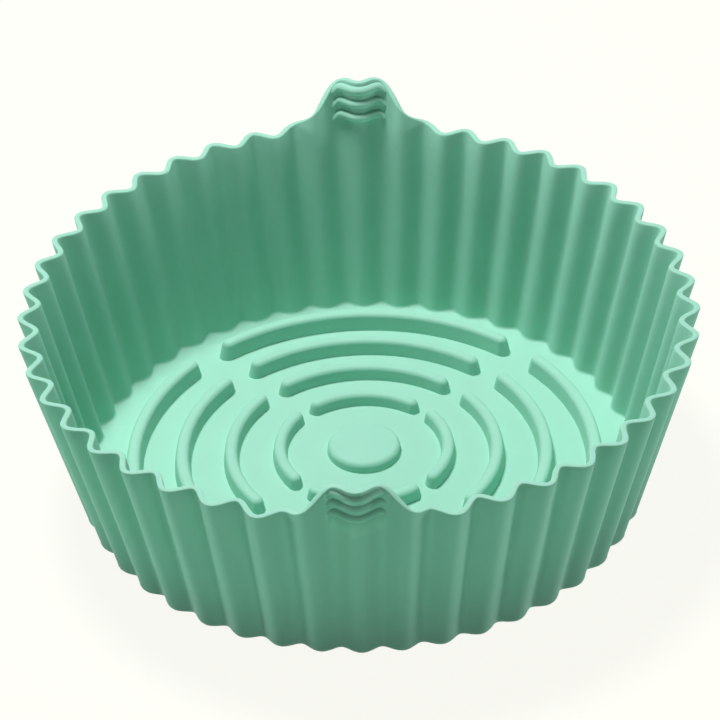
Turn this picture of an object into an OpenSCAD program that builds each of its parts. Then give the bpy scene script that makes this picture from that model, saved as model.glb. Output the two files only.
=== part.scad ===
// Round fluted silicone baking mould with two grip tabs and a ribbed floor.
// Millimetres, Z up, origin on the resting plane under the centre, tabs on the Y axis.

// Which node to build

/* [Wall] */
// Diameter of the wall's middle line at the rim
rim_d = 200; // [170:1:230]
// Diameter of the wall's middle line at the resting plane
base_d = 171; // [150:1:190]
// Height of the rim above the resting plane
wall_h = 63.5; // [45:0.5:90]
// Thickness of the wall
wall_t = 1.8; // [1.4:0.1:2.4]
// Number of flutes round the wall, odd so that one tab centre is a crest and the other a hollow
flutes = 45; // [35:2:47]
// Depth of a flute at the rim, crest to hollow
flute_rim = 4.8; // [2:0.1:5]
// Depth of a flute at the floor, crest to hollow
flute_base = 2.4; // [1:0.1:3.4]
// Radius of the rounded edge under the wall
base_round = 4; // [1.5:0.25:5]
// Radius of the fillet between floor and wall
inner_round = 1; // [0.5:0.25:3.5]
// Radius of the rim's two edges
rim_round = 0.4; // [0.2:0.1:0.6]

/* [Floor] */
// Thickness of the floor at its edge
floor_t = 1.8; // [1.4:0.1:2.6]
// Rise of the floor from its edge to the centre
floor_rise = 6.4; // [2:0.1:8]
// Narrowest width of the flat ring that the mould rests on
rest_w = 4.5; // [4:0.5:10]
// Diameter of the raised disc in the middle
disc_d = 23.2; // [14:0.2:30]
// Height of the disc above the floor
disc_h = 3.2; // [2:0.1:5]

/* [Ribs] */
// Number of rib rings
rings = 4; // [2:1:4]
// Clear distance from the disc to the middle of the first ring
rib_start = 15; // [12:0.1:20]
// Distance from the foot of the wall to the middle of the last ring
rib_edge = 11.4; // [9:0.2:18]
// Height of the first ring's ribs
rib_h = 4.2; // [2.5:0.1:6]
// Extra height of each further ring
rib_h_step = 0.6; // [0:0.1:0.8]
// Foot width of the first ring's ribs
rib_w = 4.6; // [4:0.1:6]
// Extra foot width of each further ring
rib_w_step = 0.3; // [0:0.1:0.6]
// Slope of the rib sides from upright, in degrees
rib_draft = 8; // [2:1:10]
// Slope of the rib ends from upright, in degrees
end_draft = 22; // [5:1:30]
// Radius of the ribs' upper edges
rib_round = 1.3; // [0.6:0.1:1.4]
// Angle of the gap between two ribs of a ring
rib_gap = 9; // [5:0.5:14]
// Angle taken by a rib at the tab sides, front and back
rib_arc = 82; // [70:1:90]

/* [Grip tabs] */
// Height of a tab above the rim
tab_h = 14.8; // [6:0.2:20]
// Angle from the tab's middle to where its top starts to fall
tab_top = 1.5; // [1:0.5:6]
// Angle from the tab's middle to where it meets the rim
tab_foot = 13; // [9:0.5:16]
// How far the wall leans further out under a tab, at the rim
tab_lean = 2; // [0:0.1:3]
// Angle from the tab's middle to where the wall no longer leans further out
lean_foot = 24; // [17:1:40]
// Share by which the flutes are shallower at a tab's top
tab_flat = 0.18; // [0:0.02:0.5]
// Number of grip ridges on each tab
ridges = 3; // [1:1:3]
// Height of the lowest ridge's middle above the rim
ridge_start = 3.1; // [2:0.1:3.5]
// Distance from one ridge to the next
ridge_pitch = 4.4; // [3.6:0.1:4.6]
// Height of one ridge
ridge_h = 3; // [2:0.1:3.2]
// How much lower a ridge's ends are than its middle
ridge_drop = 1.8; // [0:0.1:2.5]
// How far a ridge stands out on the inside
ridge_in = 1.3; // [0.5:0.1:1.8]
// How far a ridge stands out on the outside
ridge_out = 0.9; // [0.3:0.1:1.5]
// Angle from the tab's middle to the end of a ridge
ridge_end = 5.3; // [3:0.1:6]

/* [Hidden] */
steps = 8;
cols = flutes * steps;
silicone = [0.42, 0.78, 0.64];
rim_r = rim_d / 2;
base_r = base_d / 2;
foot_r = base_r - wall_t / 2;
edge_r = foot_r - flute_base / 2 - inner_round - 0.6;
under_r = base_r + wall_t / 2 - flute_base / 2 - base_round;
lap = 1.5;
sink = 0.9;
floor_slope = floor_rise / edge_r;
first_r = disc_d / 2 + rib_start;
last_r = foot_r - rib_edge;
ring_pitch = (last_r - first_r) / (rings - 1);

// Smooth fall from 1 to 0 between two angles off a tab's middle
function blend(m, from, to) = m <= from ? 1 : m >= to ? 0
    : 0.5 + 0.5 * cos(180 * (m - from) / (to - from));
function off_tab(a) = abs(a % 180 - 90);

// Height of the wall at an angle, with both tabs
function tab_share(a) = blend(off_tab(a), tab_top, tab_foot);
function top(a) = wall_h + tab_h * tab_share(a);

// Middle line of the wall at height z, its flutes, and how fast it moves with the angle
function line_r(a, z) = base_r
    + (rim_r - base_r + tab_lean * blend(off_tab(a), 0.6 * tab_foot, lean_foot)) * z / wall_h;
function flute(a, z) = (flute_base
    + (flute_rim * (1 - tab_flat * tab_share(a)) - flute_base) * z / top(a)) / 2;
function mid(a, z) = line_r(a, z) + flute(a, z) * cos(flutes * (a - 270));
function turn(a, z) = -flute(a, z) * flutes * sin(flutes * (a - 270));

// Point at the side s of the wall's middle surface, moved in by d along the radius
function skin(a, z, s, d = 0, zz = undef) =
    let (r = mid(a, z), t = turn(a, z), l = sqrt(r * r + t * t),
         pr = r + s * r / l - d, pt = -s * t / l)
    [pr * cos(a) - pt * sin(a), pr * sin(a) + pt * cos(a), zz == undef ? z : zz];

// Surface of the floor at a radius
function floor_z(r) = floor_t + floor_slope * (edge_r - r);

// One section of the wall, from the resting ring round the outside to the floor
function section(a) =
    let (h = wall_t / 2, r = base_round, q = inner_round, e = top(a), g = rim_round,
         f = floor_t + q, c = [cos(a), sin(a)])
    [
        [(edge_r - lap) * c[0], (edge_r - lap) * c[1], 0],
        skin(a, r, h, r, 0),
        skin(a, r, h, r * (1 - sin(30)), r * (1 - cos(30))),
        skin(a, r, h, r * (1 - sin(60)), r * (1 - cos(60))),
        skin(a, r, h),
        skin(a, e - g, h),
        skin(a, e, h - g),
        skin(a, e, g - h),
        skin(a, e - g, -h),
        skin(a, f, -h),
        skin(a, f, -h, q * (1 - cos(45)), floor_t + q * (1 - sin(45))),
        skin(a, f, -h, q, floor_t),
        [(edge_r - lap) * c[0], (edge_r - lap) * c[1], floor_t]
    ];

module wall() {
    pts = [for (i = [0:cols - 1]) each section(360 * i / cols)];
    n = len(section(0));
    faces = [for (i = [0:cols - 1], k = [0:n - 1])
        let (a = i * n + k, b = i * n + (k + 1) % n,
             c = ((i + 1) % cols) * n + (k + 1) % n, d = ((i + 1) % cols) * n + k)
        each [[a, b, c], [a, c, d]]];
    polyhedron(points = pts, faces = faces, convexity = 12);
}

// Floor sheet, a shallow cone that is hollow beneath and stands on a flat ring
module floor_sheet() {
    out = edge_r + 0.5;
    under = min(under_r - 0.5, edge_r);
    rest = under_r - rest_w;
    rotate_extrude($fn = 180)
        polygon([[0, floor_z(0)], [0, floor_slope * rest], [rest, 0], [under, 0],
                 [out, floor_z(out)]]);
}

// Rounded upper corner of a rib profile, centre c, between two slopes
function corner(c, r, from, to) = [for (i = [0:3]) let (a = from + (to - from) * i / 3)
    [c[0] + r * cos(a), c[1] + r * sin(a)]];

// Rib along an arc, with sloping sides and ends, sunk a little into the floor
module rib(r, w, h, from, span) {
    z = floor_z(r);
    t = w / 2 - h * tan(rib_draft);
    k = t - rib_round * (1 - sin(rib_draft)) / cos(rib_draft);
    foot = w / 2 + sink * tan(rib_draft);
    difference() {
        rotate([0, 0, from])
            rotate_extrude(angle = span, $fn = 180)
                polygon(concat([[r - foot, z - sink], [r + foot, z - sink]],
                    corner([r + k, z + h - rib_round], rib_round, rib_draft, 90),
                    corner([r - k, z + h - rib_round], rib_round, 90, 180 - rib_draft)));
        for (e = [0, 1])
            rotate([0, 0, from + e * span])
                translate([r, 0, z])
                    rotate([(2 * e - 1) * end_draft, 0, 0])
                        translate([-w, (e - 1) * w, -2 * sink])
                            cube([2 * w, w, 2 * (h + sink)]);
    }
}

module ribs() {
    side = 180 - rib_arc - 2 * rib_gap;
    for (i = [0:rings - 1]) {
        r = first_r + i * ring_pitch;
        w = rib_w + i * rib_w_step;
        h = rib_h + i * rib_h_step;
        for (s = [0, 180]) {
            rib(r, w, h, s + 90 - rib_arc / 2, rib_arc);
            rib(r, w, h, s - side / 2, side);
        }
    }
}

module disc() {
    z = floor_z(disc_d / 2);
    t = disc_d / 2 - disc_h * tan(rib_draft);
    rotate_extrude($fn = 120)
        polygon(concat([[0, z - sink], [disc_d / 2 + sink * tan(rib_draft), z - sink]],
            corner([t - rib_round, z + disc_h - rib_round], rib_round, rib_draft, 90),
            [[0, z + disc_h]]));
}

// One grip ridge through the tab, an oval bar that follows the flutes and drops to its ends
module ridge(a, z) {
    n = 12;
    m = 8;
    mid_s = (ridge_out - ridge_in) / 2;
    half_s = (ridge_out + ridge_in + wall_t) / 2;
    pts = [for (i = [0:n]) let (u = 2 * i / n - 1, b = a + ridge_end * u,
            y = z - ridge_drop * u * u, e = sqrt(1 - 0.75 * pow(abs(u), 6)))
        for (k = [0:m - 1]) let (p = 360 * (k + 0.5) / m)
            skin(b, y, mid_s + half_s * e * cos(p), 0, y + ridge_h / 2 * e * sin(p) * 1.08)];
    sides = [for (i = [0:n - 1], k = [0:m - 1])
        let (q = i * m + k, r = i * m + (k + 1) % m) each [[q, r, r + m], [q, r + m, q + m]]];
    ends = [[for (k = [m - 1:-1:0]) k], [for (k = [0:m - 1]) n * m + k]];
    polyhedron(points = pts, faces = concat(sides, ends), convexity = 4);
}

module grips() {
    for (a = [90, 270], i = [0:ridges - 1])
        ridge(a, wall_h + ridge_start + i * ridge_pitch);
}

module mould() {
    color(silicone) union() {
        wall();
        floor_sheet();
        ribs();
        disc();
        grips();
    }
}

mould();
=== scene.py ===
import math

import bmesh
import bpy
from mathutils import Matrix, Vector


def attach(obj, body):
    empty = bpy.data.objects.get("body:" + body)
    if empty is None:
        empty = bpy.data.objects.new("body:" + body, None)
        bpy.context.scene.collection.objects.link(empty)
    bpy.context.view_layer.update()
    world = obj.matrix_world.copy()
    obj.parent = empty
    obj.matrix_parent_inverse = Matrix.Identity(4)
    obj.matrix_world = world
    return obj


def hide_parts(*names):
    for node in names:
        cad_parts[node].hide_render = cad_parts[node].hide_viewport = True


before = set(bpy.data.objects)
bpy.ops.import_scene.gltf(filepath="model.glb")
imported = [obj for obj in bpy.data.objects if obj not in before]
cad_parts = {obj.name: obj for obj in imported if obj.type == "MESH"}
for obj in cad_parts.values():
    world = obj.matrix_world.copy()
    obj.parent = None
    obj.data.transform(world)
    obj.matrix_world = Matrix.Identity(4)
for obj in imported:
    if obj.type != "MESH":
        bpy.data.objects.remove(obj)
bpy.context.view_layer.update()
print("frame loaded")

mm = 0.001
weld = 0.0005                # points closer than this are one, in millimetres
tipWeld = 0.002              # the same where a bar thins out to its tip

# Wall and floor, in millimetres and degrees, with the grip tabs on the Y axis
mould = {
    "rimRadius": 100.0,      # wall's middle line at the rim
    "baseRadius": 85.5,      # and at the resting plane
    "height": 63.5,
    "thickness": 1.8,
    "rimEdge": 0.45,         # radius of the rim's two edges
    "rimEdgeSteps": 4,
    "flutes": 45,
    "fluteRim": 4.8,         # crest to hollow
    "fluteBase": 2.4,
    "stepsPerFlute": 32,
    "wallRows": (20.0, 40.0, 57.0),   # above the last one the wall rises into the tabs
    "firstDraft": 0.25,      # of the plain cone that is fluted afterwards
    "baseRound": 4.0,
    "baseRoundSteps": 6,
    "innerRound": 1.0,
    "innerRoundSteps": 5,
    "floorThickness": 1.8,
    "floorRise": 6.4,        # the floor is a shallow cone, highest in the middle
    "floorEdge": 81.8,
    "floorRow": 40.0,        # one more row of points halfway out
    "floorLap": 1.5,         # from the floor's last row to its edge
    "restFrom": 76.7,        # inner radius of the flat ring it stands on
    "crease": 38.0,          # edges that turn more than this stay sharp
    "floorFlat": 0.02,       # faces this near the floor's cone are shaded flat
}

tabs = {
    "height": 14.8,          # above the rim
    "top": 1.5,              # from the tab's middle to where it starts to fall
    "foot": 13.0,
    "lean": 1.72,            # the wall leans further out under a tab
    "leanFull": 7.8,         # all of the lean up to here, and none from the next
    "leanFoot": 24.0,
    "shallower": 0.18,       # share by which the flutes are shallower at a tab's top
}

ridges = {
    "heights": (3.1, 7.5, 11.9),   # above the rim
    "halfHeight": 1.62,
    "inside": 1.3,                 # how far they stand out
    "outside": 0.9,
    "drop": 2.4,                   # their ends hang lower
    "dropPower": 4,                # a higher power keeps the drop nearer to the ends
    "tipPower": 6,                 # and keeps the bar full for longer
    "end": 5.4,                    # from the tab's middle
    "steps": 54,
    "around": 20,
}

ribs = {
    "firstRadius": 26.3,
    "pitch": 15.3,
    "height": (4.2, 4.8, 5.4, 6.1),
    "width": (4.6, 4.9, 5.2, 5.5),
    "draft": 8.0,            # of their flanks and the disc's
    "endDraft": 15.0,
    "endReach": 8.0,         # the extra lean of an end fades out over this length
    "round": 1.6,
    "roundSteps": 6,
    "density": 6,            # steps along a rib for the square root of its length
    "arc": 81.5,             # front and back ribs
    "gap": 7.5,              # between two ribs of a ring
    "sink": 0.9,             # ribs and disc reach this far into the floor
    "aside": 0.6,            # the floor's pattern sits a little to the right
}

disc = {"radius": 11.6, "height": 3.2, "round": 1.9, "roundSteps": 7, "steps": 180}


def floorHeight(radius):
    return mould["floorThickness"] + mould["floorRise"] * (1 - radius / mould["floorEdge"])


def offTab(angle):
    return abs(math.degrees(angle) % 180 - 90)


def fall(off, start, end):
    share = min(1, max(0, (off - start) / (end - start)))
    return 0.5 + 0.5 * math.cos(math.pi * share)


def turnsToUpright(steps, start=0.0):
    return [start + (math.pi / 2 - start) * i / steps for i in range(steps + 1)]


def spinAll(bm, angle, steps, closed):
    bmesh.ops.spin(bm, geom=list(bm.verts) + list(bm.edges), cent=(0, 0, 0), axis=(0, 0, 1),
                   angle=angle, steps=steps, use_merge=closed, use_duplicate=False)


def linkPath(bm, path):
    for pair in zip(path, path[1:]):
        bm.edges.new(pair)


# Place on the fluted wall, with a crest at the front: side is the offset from the wall's
# middle, inset moves it in
def wallPlace(angle, level, side, inset, z):
    off = offTab(angle)
    share = fall(off, tabs["top"], tabs["foot"])
    lean = tabs["lean"] * fall(off, tabs["leanFull"], tabs["leanFoot"])
    draft = (mould["rimRadius"] - mould["baseRadius"] + lean) / mould["height"]
    rimDepth = mould["fluteRim"] * (1 - tabs["shallower"] * share)
    rise = level / (mould["height"] + tabs["height"] * share)
    depth = (mould["fluteBase"] + (rimDepth - mould["fluteBase"]) * rise) / 2
    wave = mould["flutes"] * (angle - 1.5 * math.pi)
    radius = mould["baseRadius"] + draft * level + depth * math.cos(wave)
    turn = -depth * mould["flutes"] * math.sin(wave)
    length = math.hypot(radius, turn)
    out = radius + side * radius / length - inset
    across = -side * turn / length
    c, s = math.cos(angle), math.sin(angle)
    return Vector((out * c - across * s, out * s + across * c, z))


# Rows of the wall and floor from the middle of the underside: level, side, inset, z, fluted.
# A row that isn't fluted has its radius as its level
def mouldProfile():
    half, top, edge = mould["thickness"] / 2, mould["height"], mould["rimEdge"]
    low, inner, floorTop = mould["baseRound"], mould["innerRound"], mould["floorThickness"]
    slope = mould["floorRise"] / mould["floorEdge"]
    under = (0.0, mould["floorRow"], mould["restFrom"])
    rows = [(radius, 0, 0, slope * (mould["restFrom"] - radius), 0) for radius in under]
    for turn in turnsToUpright(mould["baseRoundSteps"]):
        rows.append((low, half, low * (1 - math.sin(turn)), low * (1 - math.cos(turn)), 1))
    outside = [(z, half) for z in mould["wallRows"]]
    for turn in turnsToUpright(mould["rimEdgeSteps"]):
        outside.append((top - edge + edge * math.sin(turn), half - edge + edge * math.cos(turn)))
    rows += [(z, side, 0, z, 1) for z, side in outside]
    rows.append((top, 0, 0, top, 1))
    rows += [(z, -side, 0, z, 1) for z, side in reversed(outside)]
    for turn in turnsToUpright(mould["innerRoundSteps"]):
        rows.append((floorTop + inner, -half, inner * (1 - math.cos(turn)),
                     floorTop + inner * (1 - math.sin(turn)), 1))
    over = (mould["floorEdge"] - mould["floorLap"], mould["floorRow"], 0.0)
    rows += [(radius, 0, 0, floorHeight(radius), 0) for radius in over]
    return rows


def makeMould():
    bm = bmesh.new()
    names = ("level", "side", "inset", "fluted")
    levelLayer, sideLayer, insetLayer, flutedLayer = [bm.verts.layers.float.new(name) for name in names]
    path = []
    for level, side, inset, z, fluted in mouldProfile():
        wall = mould["baseRadius"] + mould["firstDraft"] * level + side - inset
        vert = bm.verts.new((0, -wall if fluted else -level, z))
        vert[levelLayer], vert[sideLayer] = level, side
        vert[insetLayer], vert[flutedLayer] = inset, fluted
        path.append(vert)
    linkPath(bm, path)
    spinAll(bm, math.tau, mould["flutes"] * mould["stepsPerFlute"], True)
    bmesh.ops.remove_doubles(bm, verts=bm.verts, dist=weld)

    # shape the flutes, and lift the upper wall into the tabs
    liftFrom = mould["wallRows"][-1]
    liftTo = mould["height"] - mould["rimEdge"]
    for vert in bm.verts:
        if not vert[flutedLayer]:
            continue
        angle = math.atan2(vert.co.y, vert.co.x)
        rise = min(1, max(0, (vert[levelLayer] - liftFrom) / (liftTo - liftFrom)))
        lift = tabs["height"] * fall(offTab(angle), tabs["top"], tabs["foot"]) * rise
        vert.co = wallPlace(angle, vert[levelLayer] + lift, vert[sideLayer], vert[insetLayer],
                            vert.co.z + lift)
    return bm


# Oval bar through a tab that follows its flutes, with round ends that hang lower
def makeRidge(middle, height):
    bm = bmesh.new()
    acrossLayer, upLayer = [bm.verts.layers.float.new(name) for name in ("across", "up")]
    end = math.radians(ridges["end"])
    place = (Matrix.Rotation(middle - end, 4, "Z") @ Matrix.Translation((mould["rimRadius"], 0, 0))
             @ Matrix.Rotation(math.pi / 2, 4, "X"))
    ring = bmesh.ops.create_circle(bm, segments=ridges["around"], radius=1)["verts"]
    for vert in ring:
        vert[acrossLayer], vert[upLayer] = vert.co.x, vert.co.y
    bmesh.ops.transform(bm, matrix=place, verts=ring)
    spinAll(bm, 2 * end, ridges["steps"], False)
    shift = (ridges["outside"] - ridges["inside"]) / 2
    reach = (ridges["outside"] + ridges["inside"] + mould["thickness"]) / 2
    for vert in bm.verts:
        angle = math.atan2(vert.co.y, vert.co.x)
        off = min(1, abs(math.remainder(angle - middle, math.tau)) / end)
        size = math.sqrt(1 - off ** ridges["tipPower"])
        z = mould["height"] + height - ridges["drop"] * off ** ridges["dropPower"]
        up = ridges["halfHeight"] * size * vert[upLayer]
        vert.co = wallPlace(angle, z, shift + reach * size * vert[acrossLayer], 0, z + up)
    bmesh.ops.remove_doubles(bm, verts=bm.verts, dist=tipWeld)
    return bm


# Side of a rib or the disc, from below the floor to its rounded top edge: across, up
def roundedFlank(half, height, rounding, steps):
    draft, sink = math.radians(ribs["draft"]), ribs["sink"]
    foot = half + sink * math.tan(draft)
    centre = half - height * math.tan(draft) - rounding * (1 - math.sin(draft)) / math.cos(draft)
    arc = [(centre + rounding * math.cos(turn), height - rounding + rounding * math.sin(turn))
           for turn in turnsToUpright(steps, draft)]
    return [(foot, -sink)] + arc


# Curved rib with a rounded top; its ends are half round in plan and lean back a little more
def makeRib(radius, width, height, start, span):
    bm = bmesh.new()
    acrossLayer, upLayer = [bm.verts.layers.float.new(name) for name in ("across", "up")]
    half, z, length = width / 2, floorHeight(radius), span * radius
    flank = roundedFlank(half, height, ribs["round"], ribs["roundSteps"])
    loop = []
    for across, up in flank + [(-across, up) for across, up in reversed(flank)]:
        out = radius + across
        vert = bm.verts.new((out * math.cos(start), out * math.sin(start), up))
        vert[acrossLayer], vert[upLayer] = across, up
        loop.append(vert)
    linkPath(bm, loop + loop[:1])
    spinAll(bm, span, round(ribs["density"] * math.sqrt(length)), False)
    lean = math.tan(math.radians(ribs["endDraft"])) - math.tan(math.radians(ribs["draft"]))
    for vert in bm.verts:
        across, up = vert[acrossLayer], vert[upLayer]
        turned = math.remainder(math.atan2(vert.co.y, vert.co.x) - start - span / 2, math.tau)
        share = min(1, max(0, turned / span + 0.5))
        share = 0.5 - 0.5 * math.cos(math.pi * share)      # closer steps towards the ends
        near = min(share, 1 - share) * length              # distance from the nearer end
        if near < half:
            inward = 1 - near / half
            near = half - abs(across) * inward + max(0, up) * lean
            across *= math.sqrt(1 - inward * inward)
        else:
            near += max(0, up) * lean * max(0, 1 - (near - half) / ribs["endReach"])
        angle = start + (near if share < 0.5 else length - near) / radius
        out = radius + across
        vert.co = (out * math.cos(angle), out * math.sin(angle), z + up)
    bmesh.ops.remove_doubles(bm, verts=bm.verts, dist=tipWeld)
    return bm


def makeDisc():
    bm = bmesh.new()
    z = floorHeight(disc["radius"])
    flank = roundedFlank(disc["radius"], disc["height"], disc["round"], disc["roundSteps"])
    rows = [(0.0, -ribs["sink"])] + flank + [(0.0, disc["height"])]
    linkPath(bm, [bm.verts.new((across, 0, z + up)) for across, up in rows])
    spinAll(bm, math.tau, disc["steps"], True)
    bmesh.ops.remove_doubles(bm, verts=bm.verts, dist=weld)
    return bm


def makeDetails():
    pieces = [makeDisc()]
    gap, arc = math.radians(ribs["gap"]), math.radians(ribs["arc"])
    side = math.pi - arc - 2 * gap
    for i, (height, width) in enumerate(zip(ribs["height"], ribs["width"])):
        radius = ribs["firstRadius"] + i * ribs["pitch"]
        for turn in (0, math.pi):
            for start, span in ((turn + math.pi / 2 - arc / 2, arc), (turn - side / 2, side)):
                pieces.append(makeRib(radius, width, height, start, span))
    for piece in pieces:
        bmesh.ops.translate(piece, vec=(ribs["aside"], 0, 0), verts=piece.verts)
    for middle in (-math.pi / 2, math.pi / 2):
        pieces += [makeRidge(middle, height) for height in ridges["heights"]]
    joined = bmesh.new()
    for piece in pieces:
        bmesh.ops.recalc_face_normals(piece, faces=piece.faces)
        part = bpy.data.meshes.new("part")
        piece.to_mesh(part)
        piece.free()
        joined.from_mesh(part)
        bpy.data.meshes.remove(part)
    return joined


def makeObject(name, bm):
    bmesh.ops.recalc_face_normals(bm, faces=bm.faces)
    bmesh.ops.scale(bm, vec=(mm, mm, mm), verts=bm.verts)
    mesh = bpy.data.meshes.new(name)
    bm.to_mesh(mesh)
    bm.free()
    piece = bpy.data.objects.new(name, mesh)
    bpy.context.scene.collection.objects.link(piece)
    return piece


def joinDetails(body, details):
    join = body.modifiers.new("details", "BOOLEAN")
    join.operation = "UNION"
    join.solver = "EXACT"
    join.object = details
    graph = bpy.context.evaluated_depsgraph_get()
    shaped = bpy.data.meshes.new_from_object(body.evaluated_get(graph))
    body.modifiers.clear()
    body.data = shaped
    bpy.data.objects.remove(details)
    return shaped


# The floor's long thin faces stay flat, everything else is smooth. Sharp edges come first,
# because marking them sets every face's shading anew
def shadeSurface(mesh):
    mesh.set_sharp_from_angle(angle=math.radians(mould["crease"]))
    for polygon in mesh.polygons:
        place = polygon.center / mm
        above = abs(place.z - floorHeight(place.xy.length))
        polygon.use_smooth = above > mould["floorFlat"]


body = makeObject("bakingMould", makeMould())
print("wall, floor and tabs made", len(body.data.polygons))
details = makeObject("details", makeDetails())
print("ribs, disc and ridges made", len(details.data.polygons))
shaped = joinDetails(body, details)
shadeSurface(shaped)
print("mould joined", sum(len(polygon.vertices) - 2 for polygon in shaped.polygons), "triangles")

# Satin silicone: faintly clouded colour, uneven sheen and the fine grain of the mould it came from
silicone = {
    "colour": (0.37, 0.71, 0.57),
    "cloud": (0.34, 0.68, 0.54),
    "clouds": (16 * mm, 4),        # size and detail of each noise
    "grain": (0.4 * mm, 3),
    "waves": (9 * mm, 1),
    "waveBump": (0.25, 0.3 * mm),  # strength and height
    "grainBump": (0.15, 0.03 * mm),
    "grainRange": (0.3, 0.7),      # part of the grain that the roughness follows
    "roughness": (0.42, 0.54),
    "ior": 1.42,
    "specular": 0.12,
    "subsurface": 0.06,
    "scatter": (0.6, 1.0, 0.8),
    "depth": 2.0 * mm,             # how far light scatters inside, by colour in scatter
}


def makeNoise(nodes, links, place, size, detail):
    noise = nodes.new("ShaderNodeTexNoise")
    noise.inputs["Scale"].default_value = 1 / size
    noise.inputs["Detail"].default_value = detail
    links.new(place, noise.inputs["Vector"])
    return noise.outputs["Fac"]


def makeBump(nodes, links, height, strength, distance):
    bump = nodes.new("ShaderNodeBump")
    bump.inputs["Strength"].default_value = strength
    bump.inputs["Distance"].default_value = distance
    links.new(height, bump.inputs["Height"])
    return bump


def makeSilicone():
    material = bpy.data.materials.new("satinSilicone")
    material.use_nodes = True
    nodes, links = material.node_tree.nodes, material.node_tree.links
    shader = nodes["Principled BSDF"]
    shader.inputs["Subsurface Weight"].default_value = silicone["subsurface"]
    shader.inputs["Subsurface Radius"].default_value = silicone["scatter"]
    shader.inputs["Subsurface Scale"].default_value = silicone["depth"]
    shader.inputs["IOR"].default_value = silicone["ior"]
    shader.inputs["Specular IOR Level"].default_value = silicone["specular"]

    place = nodes.new("ShaderNodeTexCoord").outputs["Object"]
    clouds, grain, waves = (makeNoise(nodes, links, place, *silicone[name])
                            for name in ("clouds", "grain", "waves"))

    tint = nodes.new("ShaderNodeMix")
    tint.data_type = "RGBA"
    tint.inputs["A"].default_value = (*silicone["colour"], 1)
    tint.inputs["B"].default_value = (*silicone["cloud"], 1)
    links.new(clouds, tint.inputs["Factor"])
    links.new(tint.outputs["Result"], shader.inputs["Base Color"])

    sheen = nodes.new("ShaderNodeMapRange")
    for side, span in (("From", "grainRange"), ("To", "roughness")):
        sheen.inputs[side + " Min"].default_value = silicone[span][0]
        sheen.inputs[side + " Max"].default_value = silicone[span][1]
    links.new(grain, sheen.inputs["Value"])
    links.new(sheen.outputs["Result"], shader.inputs["Roughness"])

    soft = makeBump(nodes, links, waves, *silicone["waveBump"])
    fine = makeBump(nodes, links, grain, *silicone["grainBump"])
    links.new(soft.outputs["Normal"], fine.inputs["Normal"])
    links.new(fine.outputs["Normal"], shader.inputs["Normal"])
    return material


body.data.materials.clear()
body.data.materials.append(makeSilicone())
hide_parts("mould")
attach(body, "root")
print("silicone made")

# Pale table, a large lamp high at the back left and low lamps round the sides and the front
studio = {
    "paper": (1.0, 1.0, 0.94),
    "paperShade": 0.08,            # how much of the table's own shading the camera sees
    "paintedBounce": (0.28, 0.58, 0.43),  # painted bounce: the table's light on the mould, dark and green to deepen the mould's shade
    "world": 0.0,
    "tableRadius": 6.0,
    "tableSides": 96,
    "tableGap": 0.1 * mm,          # keeps the table clear of the resting face
    "lamps": (
        # name, place, aim, size, power
        ("softbox", (-0.19, 0.27, 1.21), (0, 0, 0.03), 0.32, 16.4),
        ("leftFill", (-0.94, 0, 0.13), (0, 0, 0.04), 0.25, 1.75),
        ("rightFill", (0.94, 0, 0.13), (0, 0, 0.04), 0.25, 1.85),
        ("frontLeftFill", (-0.47, -0.82, 0.13), (0, 0, 0.04), 0.25, 0.6),
        ("frontRightFill", (0.47, -0.82, 0.13), (0, 0, 0.04), 0.25, 0.7),
    ),
}


def mixShaders(nodes, links, first, second):
    mix = nodes.new("ShaderNodeMixShader")
    links.new(first, mix.inputs[1])
    links.new(second, mix.inputs[2])
    return mix


# Chooses what the camera and reflections see in place of what lights the mould
def seenOrLit(nodes, links, lit, seen):
    path = nodes.new("ShaderNodeLightPath")
    last = path.outputs["Is Camera Ray"]
    for name in ("Is Glossy Ray", "Is Transmission Ray"):
        add = nodes.new("ShaderNodeMath")
        add.operation = "MAXIMUM"
        links.new(last, add.inputs[0])
        links.new(path.outputs[name], add.inputs[1])
        last = add.outputs[0]
    pick = mixShaders(nodes, links, lit, seen)
    links.new(last, pick.inputs[0])
    return pick.outputs[0]


def makeColoured(nodes, kind, colour):
    shader = nodes.new(kind)
    shader.inputs["Color"].default_value = (*colour, 1)
    return shader.outputs[0]


def makePaper():
    material = bpy.data.materials.new("palePaper")
    material.use_nodes = True
    nodes, links = material.node_tree.nodes, material.node_tree.links
    nodes.clear()
    glow = makeColoured(nodes, "ShaderNodeEmission", studio["paper"])
    matte = makeColoured(nodes, "ShaderNodeBsdfDiffuse", studio["paper"])
    # Painted bounce: light from the table reaches the mould through this dark green diffuse, which
    # deepens and greens the mould's shade
    greenBounce = makeColoured(nodes, "ShaderNodeBsdfDiffuse", studio["paintedBounce"])
    soft = mixShaders(nodes, links, glow, matte)
    soft.inputs[0].default_value = studio["paperShade"]
    out = nodes.new("ShaderNodeOutputMaterial")
    links.new(seenOrLit(nodes, links, greenBounce, soft.outputs[0]), out.inputs[0])
    return material


def makeTable():
    bm = bmesh.new()
    bmesh.ops.create_circle(bm, cap_ends=True, segments=studio["tableSides"],
                            radius=studio["tableRadius"])
    bmesh.ops.translate(bm, vec=(0, 0, -studio["tableGap"]), verts=bm.verts)
    mesh = bpy.data.meshes.new("tableTop")
    bm.to_mesh(mesh)
    bm.free()
    table = bpy.data.objects.new("tableTop", mesh)
    bpy.context.scene.collection.objects.link(table)
    mesh.materials.append(makePaper())


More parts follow.
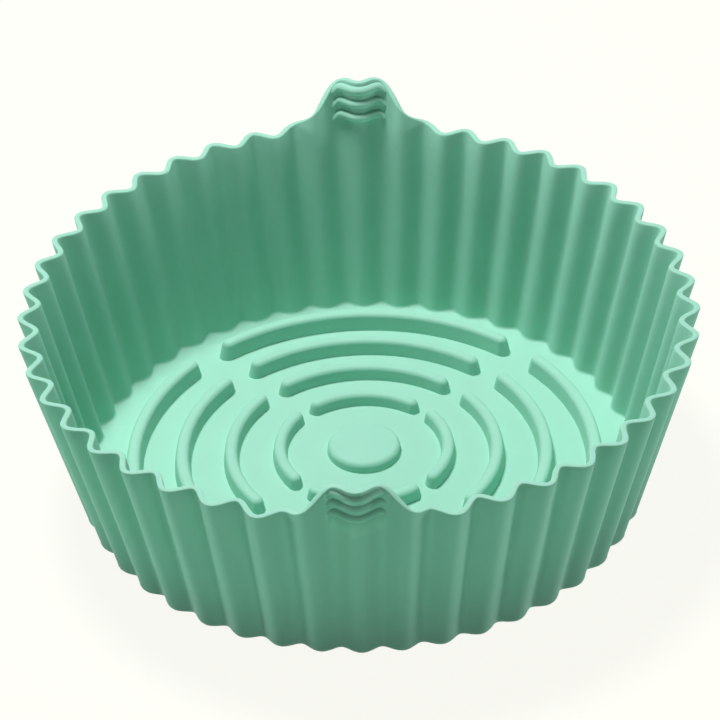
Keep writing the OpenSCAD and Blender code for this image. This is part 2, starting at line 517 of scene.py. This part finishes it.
def makeWorld():
    world = bpy.data.worlds.new("studio")
    world.use_nodes = True
    nodes, links = world.node_tree.nodes, world.node_tree.links
    back = nodes["Background"]
    back.inputs["Color"].default_value = (1, 1, 1, 1)
    back.inputs["Strength"].default_value = studio["world"]
    shown = makeColoured(nodes, "ShaderNodeBackground", studio["paper"])
    pick = seenOrLit(nodes, links, back.outputs[0], shown)
    links.new(pick, nodes["World Output"].inputs[0])
    bpy.context.scene.world = world


def makeLamp(name, place, aim, size, power):
    lamp = bpy.data.lights.new(name, "AREA")
    lamp.shape = "DISK"
    lamp.size = size
    lamp.energy = power
    holder = bpy.data.objects.new(name, lamp)
    bpy.context.scene.collection.objects.link(holder)
    holder.location = place
    holder.rotation_euler = (Vector(aim) - Vector(place)).to_track_quat("-Z", "Y").to_euler()


# Where the photograph was taken from, in metres and degrees, with the lens in millimetres
view = {
    "place": (0.00006, -0.79311, 0.63766),
    "pitch": 36.877,
    "roll": -1.593,
    "turn": 1.135,           # the mould stands turned a little
    "lens": 161.69,
    "sensor": 36,
    "near": 0.05,
    "far": 30,
}


def makeCamera():
    pitch, roll, turn = (math.radians(view[name]) for name in ("pitch", "roll", "turn"))
    ahead = Vector((0, math.cos(pitch), -math.sin(pitch)))
    right = Vector((1, 0, 0))
    up = right.cross(ahead)
    across = math.cos(roll) * right + math.sin(roll) * up
    upward = -math.sin(roll) * right + math.cos(roll) * up
    spin = Matrix.Rotation(turn, 3, "Z")
    columns = Matrix((spin @ across, spin @ upward, spin @ -ahead)).transposed()
    data = bpy.data.cameras.new("photoView")
    data.lens = view["lens"]
    data.sensor_width = view["sensor"]
    data.clip_start = view["near"]
    data.clip_end = view["far"]
    camera = bpy.data.objects.new("photoView", data)
    bpy.context.scene.collection.objects.link(camera)
    camera.matrix_world = Matrix.Translation(spin @ Vector(view["place"])) @ columns.to_4x4()
    bpy.context.scene.camera = camera


makeCamera()
makeWorld()
makeTable()
for lamp in studio["lamps"]:
    makeLamp(*lamp)
bpy.context.scene.view_settings.view_transform = "Standard"
print("studio made")

bpy.context.view_layer.update()
